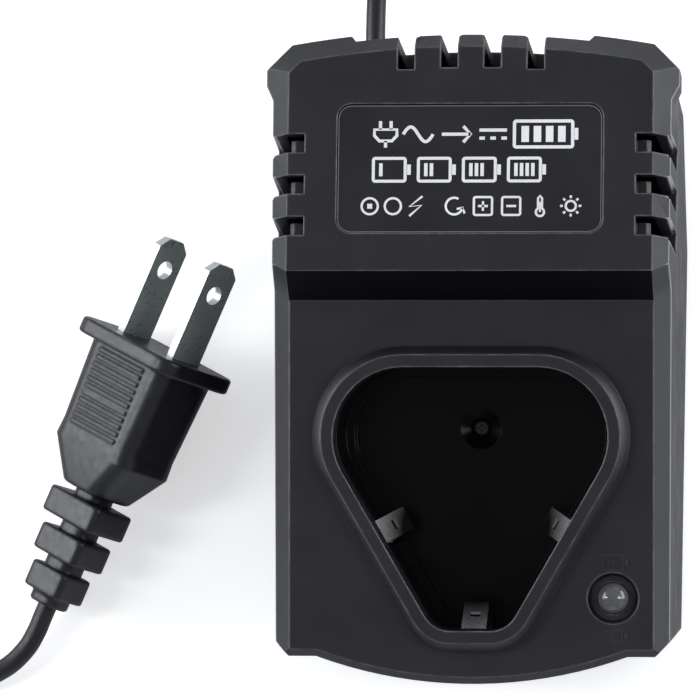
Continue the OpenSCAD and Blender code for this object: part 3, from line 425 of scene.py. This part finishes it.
# scale and detail of each noise and the stretch of it that counts, tones as shares of the colour, how far the
# roughness goes below and above its value, and depth in metres and strength of the fine relief
plasticGrain = {
    "broad": (55, 4), "fine": (2600, 2), "rub": (420, 3), "sheen": (130, 5), "counts": (0.3, 0.7),
    "tones": (0.86, 1.16), "rubbed": (0.35, 0.7, 0.35, 1.0), "wearAndHighlightWidth": 1.3, "roughness": (-0.06, 0.07),
    "specular": 0.5, "relief": (0.00002, 0.55),
}
glossGrain = {
    "smear": (90, 4, (1, 1, 0.5)), "fine": (600, 2), "counts": (0.3, 0.75), "tones": (0.8, 1.3),
    "roughness": (-0.05, 0.12), "relief": (0.00001, 0.4),
}
metalGrain = {
    "streak": (1500, 4), "tarnish": (260, 3), "counts": (0.3, 0.7), "tones": (0.78, 1.12),
    "roughness": (-0.08, 0.1), "relief": (0.000002, 0.2),
}
metalEdge = 0.0001
rubberGrain = {
    "skin": (900, 3), "dust": (70, 4), "counts": (0.3, 0.7), "tones": (1.0, 1.5), "roughness": (-0.07, 0.07),
    "relief": (0.00002, 0.4),
}
wireGrain = {
    "wave": 6.283, "distortion": 0.6, "detail": 200, "sheen": 300, "counts": (0.3, 0.7), "tones": (0.55, 1.0),
    "roughness": (0.25, 0.4), "relief": (0.0001, 0.6),
}
# the worn colour on outside edges is partly real wear and partly painted highlight
housingFinish = {
    "color": (0.0060, 0.0060, 0.0098), "wornAndLit": (0.21, 0.21, 0.22), "roughness": 0.46, "edge": 0.0004,
}
# the slanting face of the step, which gets painted shade: its drop for its run, how squarely a surface faces
# that way, the metres in which it sets in, and its darkened tone and dimmed shine beside the rest
stepShade = {
    "drop": 6.2, "run": 3.7, "facing": (0.96, 0.995), "from": (0.0, 0.004), "tone": 0.4, "shine": 0.12,
}
# painted highlight along the long ridges between the slanting sides and the walls: metres from the middle,
# and how far up the rounded edge faces as it turns from the wall to the side
ridgeHighlight = {
    "out": (0.0311, 0.0314), "radius": 0.0005, "agrees": (0.996, 0.985), "fromWall": (0.10, 0.20),
    "fromSide": (0.57, 0.46), "color": (0.40, 0.40, 0.42),
}


def tones(color, shares):
    return [tuple(min(1, c * share) for c in color) for share in shares]


def addRoughness(tree, shader, noise, grain, roughness):
    low, high = (roughness + change for change in grain["roughness"])
    tree.links.new(addRange(tree, noise, *grain["counts"], low, high), shader.inputs["Roughness"])


def addStepMask(tree, coords):
    # 1 on the slanting face of the step
    slant = math.atan2(stepShade["drop"], stepShade["run"])
    facing = addDot(tree, coords.outputs["Normal"], (0, -math.sin(slant), math.cos(slant)))
    back = addSplit(tree, coords.outputs["Object"], "Y")
    return addTimes(tree, addRange(tree, facing, *stepShade["facing"], 0.0, 1.0),
                    addRange(tree, back, *stepShade["from"], 0.0, 1.0))


def addRidgeHighlightMask(tree, coords):
    # 1 along the ridges between the slanting sides and the walls, where the highlight is painted
    soft = addSoftNormal(tree, ridgeHighlight["radius"])
    upward = addSplit(tree, soft, "Z")
    geometry = tree.nodes.new("ShaderNodeNewGeometry")
    agrees = addDot(tree, soft, geometry.outputs["Normal"])
    across = tree.nodes.new("ShaderNodeMath")
    across.operation = "ABSOLUTE"
    tree.links.new(addSplit(tree, coords.outputs["Object"], "X"), across.inputs[0])
    mask = addTimes(tree, addRange(tree, upward, *ridgeHighlight["fromWall"], 0.0, 1.0),
                    addRange(tree, upward, *ridgeHighlight["fromSide"], 0.0, 1.0))
    mask = addTimes(tree, mask, addRange(tree, across.outputs["Value"], *ridgeHighlight["out"], 0.0, 1.0))
    return addTimes(tree, mask, addRange(tree, agrees, *ridgeHighlight["agrees"], 0.0, 1.0))


def mouldedPlastic(name, color, wornAndLit, roughness, edge, onTop=False):
    mat, tree, shader, coords = newMaterial(name)
    grain = plasticGrain
    toned = addMix(tree, addNoise(tree, coords, *grain["broad"]), *tones(color, grain["tones"]))
    # outside edges turn lighter: partly real wear, partly painted highlight where the rounded edges catch
    # light
    wearAndHighlight = addTimes(tree, addEdgeMask(tree, edge * grain["wearAndHighlightWidth"]),
                    addRange(tree, addNoise(tree, coords, *grain["rub"]), *grain["rubbed"]))
    shown = addMix(tree, wearAndHighlight, toned, wornAndLit)
    specular = grain["specular"]
    shader.inputs["Specular IOR Level"].default_value = specular
    if onTop:
        # painted highlight along the ridges, and painted shade on the step: its colour darkened and its
        # reflection dimmed beside the rest
        onStep = addStepMask(tree, coords)
        tree.links.new(addRange(tree, onStep, 0, 1, specular, specular * stepShade["shine"]),
                       shader.inputs["Specular IOR Level"])
        shown = addMix(tree, addRidgeHighlightMask(tree, coords), shown, ridgeHighlight["color"])
        shown = addMix(tree, onStep, shown, *tones(color, [stepShade["tone"]]))
    tree.links.new(shown, shader.inputs["Base Color"])
    addRoughness(tree, shader, addNoise(tree, coords, *grain["sheen"]), grain, roughness)
    addBump(tree, shader, addNoise(tree, coords, *grain["fine"]), *grain["relief"], edge)
    return mat


def glossyPlastic(name, color, roughness, specular, edge=0.0003):
    mat, tree, shader, coords = newMaterial(name)
    grain = glossGrain
    smear = addNoise(tree, coords, *grain["smear"])
    tree.links.new(addMix(tree, smear, *tones(color, grain["tones"])), shader.inputs["Base Color"])
    addRoughness(tree, shader, smear, grain, roughness)
    shader.inputs["Specular IOR Level"].default_value = specular
    addBump(tree, shader, addNoise(tree, coords, *grain["fine"]), *grain["relief"], edge)
    return mat


def platedMetal(name, color, roughness, brush=(1, 1, 1), metallic=1.0, shadedEnd=None, grain=metalGrain):
    mat, tree, shader, coords = newMaterial(name)
    shader.inputs["Metallic"].default_value = metallic
    streak = addNoise(tree, coords, *grain["streak"], brush)
    plated = addMix(tree, addNoise(tree, coords, *grain["tarnish"]), *tones(color, grain["tones"]))
    if shadedEnd:
        # painted shade near this upright line, bright away from it
        flat = tree.nodes.new("ShaderNodeMapping")
        flat.inputs["Location"].default_value = (-shadedEnd["x"], -shadedEnd["y"], 0)
        flat.inputs["Scale"].default_value = (1, 1, 0)
        away = tree.nodes.new("ShaderNodeVectorMath")
        away.operation = "LENGTH"
        tree.links.new(coords.outputs["Object"], flat.inputs["Vector"])
        tree.links.new(flat.outputs["Vector"], away.inputs[0])
        bright = addRange(tree, away.outputs["Value"], shadedEnd["near"], shadedEnd["far"], 0.0, 1.0)
        plated = addMix(tree, bright, shadedEnd["color"], plated)
    tree.links.new(plated, shader.inputs["Base Color"])
    addRoughness(tree, shader, streak, grain, roughness)
    addBump(tree, shader, streak, *grain["relief"], metalEdge)
    return mat


def rubber(name, color, roughness, specular=0.4, edge=0.0):
    mat, tree, shader, coords = newMaterial(name)
    grain = rubberGrain
    skin = addNoise(tree, coords, *grain["skin"])
    dust = addNoise(tree, coords, *grain["dust"])
    tree.links.new(addMix(tree, dust, *tones(color, grain["tones"])), shader.inputs["Base Color"])
    addRoughness(tree, shader, skin, grain, roughness)
    shader.inputs["Specular IOR Level"].default_value = specular
    addBump(tree, shader, skin, *grain["relief"], edge)
    return mat


def woundWire(name, color, spacing):
    # close turns of lacquered wire or tape, wound about the upright axis
    mat, tree, shader, coords = newMaterial(name)
    grain = wireGrain
    bands = tree.nodes.new("ShaderNodeTexWave")
    bands.bands_direction = "Z"
    bands.inputs["Scale"].default_value = 2 / spacing / grain["wave"]
    bands.inputs["Distortion"].default_value = grain["distortion"]
    bands.inputs["Detail Scale"].default_value = grain["detail"]
    tree.links.new(coords.outputs["Object"], bands.inputs["Vector"])
    tree.links.new(addMix(tree, bands.outputs["Fac"], *tones(color, grain["tones"])),
                   shader.inputs["Base Color"])
    addRoughness(tree, shader, addNoise(tree, coords, grain["sheen"]), grain, 0)
    addBump(tree, shader, bands.outputs["Fac"], *grain["relief"])
    return mat


def dress(piece, mat):
    piece = nodes[piece] if isinstance(piece, str) else piece
    piece.data.materials.clear()
    piece.data.materials.append(mat)


dress("bottom_housing", mouldedPlastic("charcoalPlastic", **housingFinish))
dress(topShell, mouldedPlastic("charcoalTop", **housingFinish, onTop=True))
dress("battery_socket", glossyPlastic("socketBlack", (0.0028, 0.0028, 0.0034), 0.22, 0.13))
dress("rating_label", glossyPlastic("labelFilm", (0.0076, 0.0076, 0.0112), 0.36, 0.46, 0.0002))
dress("status_lamp", glossyPlastic("milkyLens", (0.080, 0.080, 0.085), 0.11, 0.5, 0.0))
# painted shade on the leaf contacts, dark near the middle: metres from an upright line through the middle of
# the socket
contactShade = {"x": 0.0, "y": -0.0251, "near": 0.0118, "far": 0.0170, "color": (0.02, 0.02, 0.02)}
contactGrain = {**metalGrain, "tarnish": (2200, 3), "tones": (0.60, 1.40)}
contactNickel = platedMetal("contactNickel", (0.97, 0.96, 0.93), 0.27, (1, 1, 0.06), 0.5, contactShade,
                            contactGrain)
for name in ("contact_positive", "contact_negative", "contact_sense"):
    dress(name, contactNickel)
dress("plug_blades", platedMetal("bladeNickel", (0.60, 0.66, 0.64), 0.32, (0.1, 1, 1), 0.55))
dress(cord, rubber("cordJacket", (0.008, 0.008, 0.010), 0.42))
dress("cord_bushing", rubber("bushingRubber", (0.007, 0.007, 0.008), 0.5, 0.35, 0.0003))
dress(plugShell, rubber("plugRubber", (0.0060, 0.0063, 0.0100), 0.36, 0.45, 0.0008))
dress("rubber_feet", rubber("footRubber", (0.010, 0.010, 0.010), 0.75, 0.25, 0.0003))
dress("socket_screw", platedMetal("blackScrew", (0.05, 0.05, 0.055), 0.4, metallic=0.6))
zinc = platedMetal("zincScrew", (0.42, 0.43, 0.45), 0.34, (1, 1, 0.2))
dress("housing_screws", zinc)
dress("board_screws", zinc)
print("outside finishes done")

# parts on the circuit board, seen through the vents or with the housing off

dress("circuit_board", glossyPlastic("solderMask", (0.012, 0.075, 0.030), 0.32, 0.5, 0.0))
dress("transformer_core", rubber("ferrite", (0.030, 0.030, 0.033), 0.55, 0.4, 0.0003))
dress("transformer_winding", woundWire("windingTape", (0.62, 0.40, 0.04), 0.0006))
dress("input_capacitor", glossyPlastic("blueSleeve", (0.020, 0.035, 0.09), 0.26, 0.5))
dress("output_capacitor", glossyPlastic("greenSleeve", (0.012, 0.060, 0.050), 0.26, 0.5))
epoxy = rubber("packageEpoxy", (0.012, 0.012, 0.013), 0.58, 0.35, 0.0002)
for name in ("rectifier_diodes", "output_diode", "switching_transistor", "control_chip", "optocoupler"):
    dress(name, epoxy)
dress("input_fuse", glossyPlastic("fuseLacquer", (0.17, 0.30, 0.10), 0.25, 0.5))
dress("filter_choke", woundWire("chokeCopper", (0.42, 0.13, 0.035), 0.0005))
dress("safety_capacitor", glossyPlastic("capacitorBlue", (0.022, 0.12, 0.36), 0.22, 0.5))
for name, color in (("mains_leads", (0.10, 0.040, 0.020)), ("positive_lead", (0.32, 0.012, 0.010)),
                    ("negative_lead", (0.010, 0.010, 0.010)), ("sense_lead", (0.60, 0.58, 0.54)),
                    ("lamp_leads", (0.52, 0.49, 0.42))):
    dress(name, rubber(name.split("_")[0] + "Insulation", color, 0.4))
print("inside finishes done")

# flat print: every mark is a list of lines in millimetres from its own middle, each with its width, or 0 for
# the width that the row shares


def circleLine(x, y, r, start=0, sweep=360, steps=22):
    return [(x + r * math.cos(math.radians(start + sweep * k / steps)),
             y + r * math.sin(math.radians(start + sweep * k / steps))) for k in range(steps + 1)]


def boxLine(x, y, w, h, r=0.3):
    points = []
    for sx, sy, start in ((1, 1, 0), (-1, 1, 90), (-1, -1, 180), (1, -1, 270)):
        points += circleLine(x + sx * (w / 2 - r), y + sy * (h / 2 - r), r, start, 90, 5)
    return points + points[:1]


def batteryMark(w, h, bars, slots=4):
    # lying cell with its cap on the right and a number of bars
    cap, endGap, sideGap = 0.9, 0.75, 0.8
    body = w - cap
    marks = [(boxLine(-cap / 2, 0, body, h), 0), ([(w / 2 - 0.6, 0), (w / 2, 0)], h * 0.45)]
    pitch = (body - 2 * endGap) / slots
    for k in range(bars):
        x = -cap / 2 - body / 2 + endGap + pitch * (k + 0.5)
        marks.append(([(x, -h / 2 + sideGap), (x, h / 2 - sideGap)], pitch * 0.62))
    return marks


def plugMark(h):
    return [([(-0.85, h / 2), (-0.85, h * 0.18)], 0), ([(0.85, h / 2), (0.85, h * 0.18)], 0),
            ([(-1.8, h * 0.18), (1.8, h * 0.18), (1.8, -h * 0.05), (1.0, -h * 0.25), (-1.0, -h * 0.25),
              (-1.8, -h * 0.05), (-1.8, h * 0.18)], 0), ([(0, -h * 0.25), (0, -h / 2)], 0)]


def waveMark(w, h):
    return [([(w * (k / 24 - 0.5), h / 2 * math.sin(2 * math.pi * k / 24)) for k in range(25)], 0)]


def arrowMark(w, h):
    barb = w / 2 - h * 0.45
    return [([(-w / 2, 0), (w / 2, 0)], 0), ([(barb, h / 2), (w / 2, 0), (barb, -h / 2)], 0)]


def directMark(w, h):
    dash = w / 5
    return [([(-w / 2, h / 2), (w / 2, h / 2)], 0)] + [
        ([(x - dash / 2, -h / 2), (x + dash / 2, -h / 2)], 0) for x in (-2 * dash, 0, 2 * dash)]


def boltMark(h):
    return [([(0.35 * h, h / 2), (-0.3 * h, -0.02 * h), (0.3 * h, 0.04 * h), (-0.3 * h, -h / 2)], 0)]


def lampMark(r, lit):
    marks = [(circleLine(0, 0, r), 0)]
    if lit:
        marks.append(([(-0.4, 0), (0.4, 0)], 0.8))
    return marks


def turnMark(r):
    arc = circleLine(0, 0, r, 60, 290)
    x, y = arc[-1]
    return [(arc, 0), ([(x - 0.9, y - 0.25), (x, y), (x + 0.35, y - 0.95)], 0)]


def signMark(size, plus):
    marks = [(boxLine(0, 0, size, size), 0), ([(-size * 0.27, 0), (size * 0.27, 0)], 0)]
    if plus:
        marks.append(([(0, -size * 0.27), (0, size * 0.27)], 0))
    return marks


def heatMark(h):
    bulb = circleLine(0, -h * 0.3, h * 0.2, 120, 300, 14)
    stem = [(0.32, h * 0.38), (0, h / 2), (-0.32, h * 0.38)]
    return [(bulb + stem + bulb[:1], 0), ([(0, -h * 0.3), (0, h * 0.2)], 0.3)]


def sunMark(r):
    marks = [(circleLine(0, 0, r * 0.48, steps=14), 0)]
    for k in range(8):
        x, y = r * math.cos(math.radians(45 * k)), r * math.sin(math.radians(45 * k))
        marks.append(([(x * 0.74, y * 0.74), (x, y)], 0))
    return marks


def makePrint(name, marks, stroke, thickness, place, mat):
    # marks: the middle of each mark, and its lines
    bpy.ops.object.select_all(action="DESELECT")
    bpy.ops.curve.primitive_bezier_curve_add()
    print_ = bpy.context.object
    print_.name = name
    curve = print_.data
    curve.splines.clear()
    curve.dimensions = "3D"
    curve.twist_mode = "Z_UP"
    profile = bpy.data.curves.new(name + "Profile", "CURVE")
    profile.dimensions = "3D"
    outline = profile.splines.new("POLY")
    outline.points.add(3)
    outline.use_cyclic_u = True
    for point, (x, y) in zip(outline.points, ((-0.5, -0.5), (0.5, -0.5), (0.5, 0.5), (-0.5, 0.5))):
        point.co = (x * stroke / 1000, y * thickness / 1000, 0, 1)
    profileObject = bpy.data.objects.new(name + "Profile", profile)
    scene.collection.objects.link(profileObject)
    for (x, y), strokes in marks:
        for line, wide in strokes:
            closed = len(line) > 3 and (Vector(line[0]) - Vector(line[-1])).length < 1e-6
            line = line[:-1] if closed else line
            spline = curve.splines.new("POLY")
            spline.points.add(len(line) - 1)
            spline.use_cyclic_u = closed
            spline.use_smooth = False
            for point, (px, py) in zip(spline.points, line):
                point.co = ((x + px) / 1000, (y + py) / 1000, 0, 1)
                point.radius = wide / stroke if wide else 1
    curve.bevel_mode = "OBJECT"
    curve.bevel_object = profileObject
    curve.use_fill_caps = True
    print_.matrix_world = place
    bpy.ops.object.convert(target="MESH")
    bpy.ops.object.transform_apply(location=True, rotation=True, scale=True)
    bpy.data.objects.remove(profileObject)
    dress(print_, mat)
    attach(print_, "charger")


# millimetres: the place of each row on the label, the width of its lines, and its marks
labelPrint = {"top": 42.91, "thickness": 0.05}
# painted highlight: a thin light line where the label's edge catches light
labelEdgeHighlight = {"y": 29.15, "stroke": 0.14, "marks": [((0, 0), [(boxLine(0, 0, 42.0, 20.4, 2.0), 0)])]}
labelTopRow = {"y": 34.75, "stroke": 0.52, "marks": [
    ((-13.5, 0), plugMark(4.3)),
    ((-8.3, 0), waveMark(4.8, 2.4)),
    ((-2.2, 0), arrowMark(4.6, 2.6)),
    ((3.7, 0), directMark(4.4, 1.3)),
    ((12.2, 0), batteryMark(10.2, 4.2, 4)),
]}
labelMiddleRow = {"y": 29.0, "stroke": 0.48, "marks": [
    ((x, 0), batteryMark(6.0, 3.7, bars)) for x, bars in ((-12.4, 1), (-5.2, 2), (2.0, 3), (9.2, 4))
]}
labelLowerRow = {"y": 23.1, "stroke": 0.36, "marks": [
    ((-15.9, 0), lampMark(1.3, True)),
    ((-12.2, 0), lampMark(1.3, False)),
    ((-8.6, 0), boltMark(3.2)),
    ((-2.4, 0), turnMark(1.35)),
    ((2.2, 0), signMark(2.9, True)),
    ((6.7, 0), signMark(2.9, False)),
    ((11.3, 0), heatMark(3.3)),
    ((16.2, 0), sunMark(1.7)),
]}


def printLabel(name, row, mat):
    place = Matrix.Translation(Vector((0, row["y"] / 1000, labelPrint["top"] / 1000)))
    makePrint(name, row["marks"], row["stroke"], labelPrint["thickness"], place, mat)


inkWhite = rubber("inkWhite", (0.62, 0.62, 0.63), 0.45, 0.3)
# painted highlight along the label's edge
printLabel("labelEdgeHighlight", labelEdgeHighlight, rubber("highlightGrey", (0.11, 0.11, 0.115), 0.4, 0.4))
printLabel("labelTopRow", labelTopRow, inkWhite)
printLabel("labelMiddleRow", labelMiddleRow, inkWhite)
printLabel("labelLowerRow", labelLowerRow, inkWhite)
print("label print done")

# raised marks on the deck beside the lamp

# degrees and metres: the deck slopes from this line at the foot of the step
deck = {"tilt": 9.0, "rearY": 0.008936, "rearZ": 0.0368}
# metres across and down the deck, then millimetres
lampMarkAbove = {"x": 0.0231, "down": 0.0419, "stroke": 0.26, "marks": [
    ((0, 0), batteryMark(4.2, 2.5, 2, 3)),
]}
lampMarkBelow = {"x": 0.0227, "down": 0.0536, "stroke": 0.24, "marks": [
    ((-1.4, 0), boltMark(2.3)),
    ((1.1, 0), batteryMark(2.6, 1.7, 1, 1)),
]}
raisedMark = {"height": 0.10, "color": (0.016, 0.016, 0.020)}


def printDeck(name, row, mat):
    tilt = math.radians(deck["tilt"])
    place = Vector((row["x"], deck["rearY"] - row["down"] * math.cos(tilt),
                    deck["rearZ"] - row["down"] * math.sin(tilt)))
    makePrint(name, row["marks"], row["stroke"], raisedMark["height"],
              Matrix.Translation(place) @ Matrix.Rotation(tilt, 4, "X"), mat)


markPlastic = mouldedPlastic("markPlastic", raisedMark["color"], raisedMark["color"],
                             housingFinish["roughness"], 0.0)
printDeck("lampMarkAbove", lampMarkAbove, markPlastic)
printDeck("lampMarkBelow", lampMarkBelow, markPlastic)
print("lamp marks done")

# strap that holds the coil

# degrees and millimetres
coilTie = {
    "around": 205.0, "inside": 13.6, "outside": 24.4, "low": 0.03, "high": 7.15, "width": 9.0,
    "thickness": 0.6, "sides": 40, "squareness": 0.62, "edge": 0.12, "edgeSteps": 2, "smooth": 40,
}


def makeTie():
    tie = coilTie
    middle = (tie["inside"] + tie["outside"]) / 2
    halfW = (tie["outside"] - tie["inside"]) / 2
    halfH = (tie["high"] - tie["low"]) / 2
    bpy.ops.object.select_all(action="DESELECT")
    bpy.ops.mesh.primitive_circle_add(vertices=tie["sides"], radius=1, fill_type="NOTHING")
    strap = bpy.context.object
    strap.name = "coilTie"
    bpy.ops.object.mode_set(mode="EDIT")
    bpy.ops.mesh.select_all(action="SELECT")
    bpy.ops.transform.rotate(value=math.radians(90), orient_axis="X", center_override=(0, 0, 0))
    bpy.ops.mesh.extrude_region_move(TRANSFORM_OT_translate={"value": (0, tie["width"] / 1000, 0)})
    bpy.ops.object.mode_set(mode="OBJECT")
    for vertex in strap.data.vertices:
        x, y, z = vertex.co
        # the circle is pressed to the flat oval of the coil's section
        flatX = math.copysign(abs(x) ** tie["squareness"], x)
        flatZ = math.copysign(abs(z) ** tie["squareness"], z)
        vertex.co = ((middle + flatX * halfW) / 1000, y - tie["width"] / 2000,
                     (tie["low"] + halfH + flatZ * halfH) / 1000)
    solid = strap.modifiers.new("thick", "SOLIDIFY")
    solid.thickness = tie["thickness"] / 1000
    solid.offset = 1
    bpy.ops.object.modifier_apply(modifier="thick")
    edge = strap.modifiers.new("edge", "BEVEL")
    edge.width = tie["edge"] / 1000
    edge.segments = tie["edgeSteps"]
    edge.limit_method = "ANGLE"
    bpy.ops.object.modifier_apply(modifier="edge")
    bpy.ops.object.mode_set(mode="EDIT")
    bpy.ops.mesh.select_all(action="SELECT")
    bpy.ops.mesh.normals_make_consistent(inside=False)
    bpy.ops.object.mode_set(mode="OBJECT")
    bpy.ops.object.shade_smooth_by_angle(angle=math.radians(tie["smooth"]))
    strap.matrix_world = (Matrix.Translation(Vector((coil["x"], coil["y"], 0)) / 1000)
                          @ Matrix.Rotation(math.radians(tie["around"]), 4, "Z"))
    bpy.ops.object.transform_apply(location=True, rotation=True, scale=True)
    dress(strap, rubber("strapRubber", (0.006, 0.006, 0.007), 0.6, 0.3))
    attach(strap, "charger")


makeTie()
print("coil tie done")

bpy.context.view_layer.update()
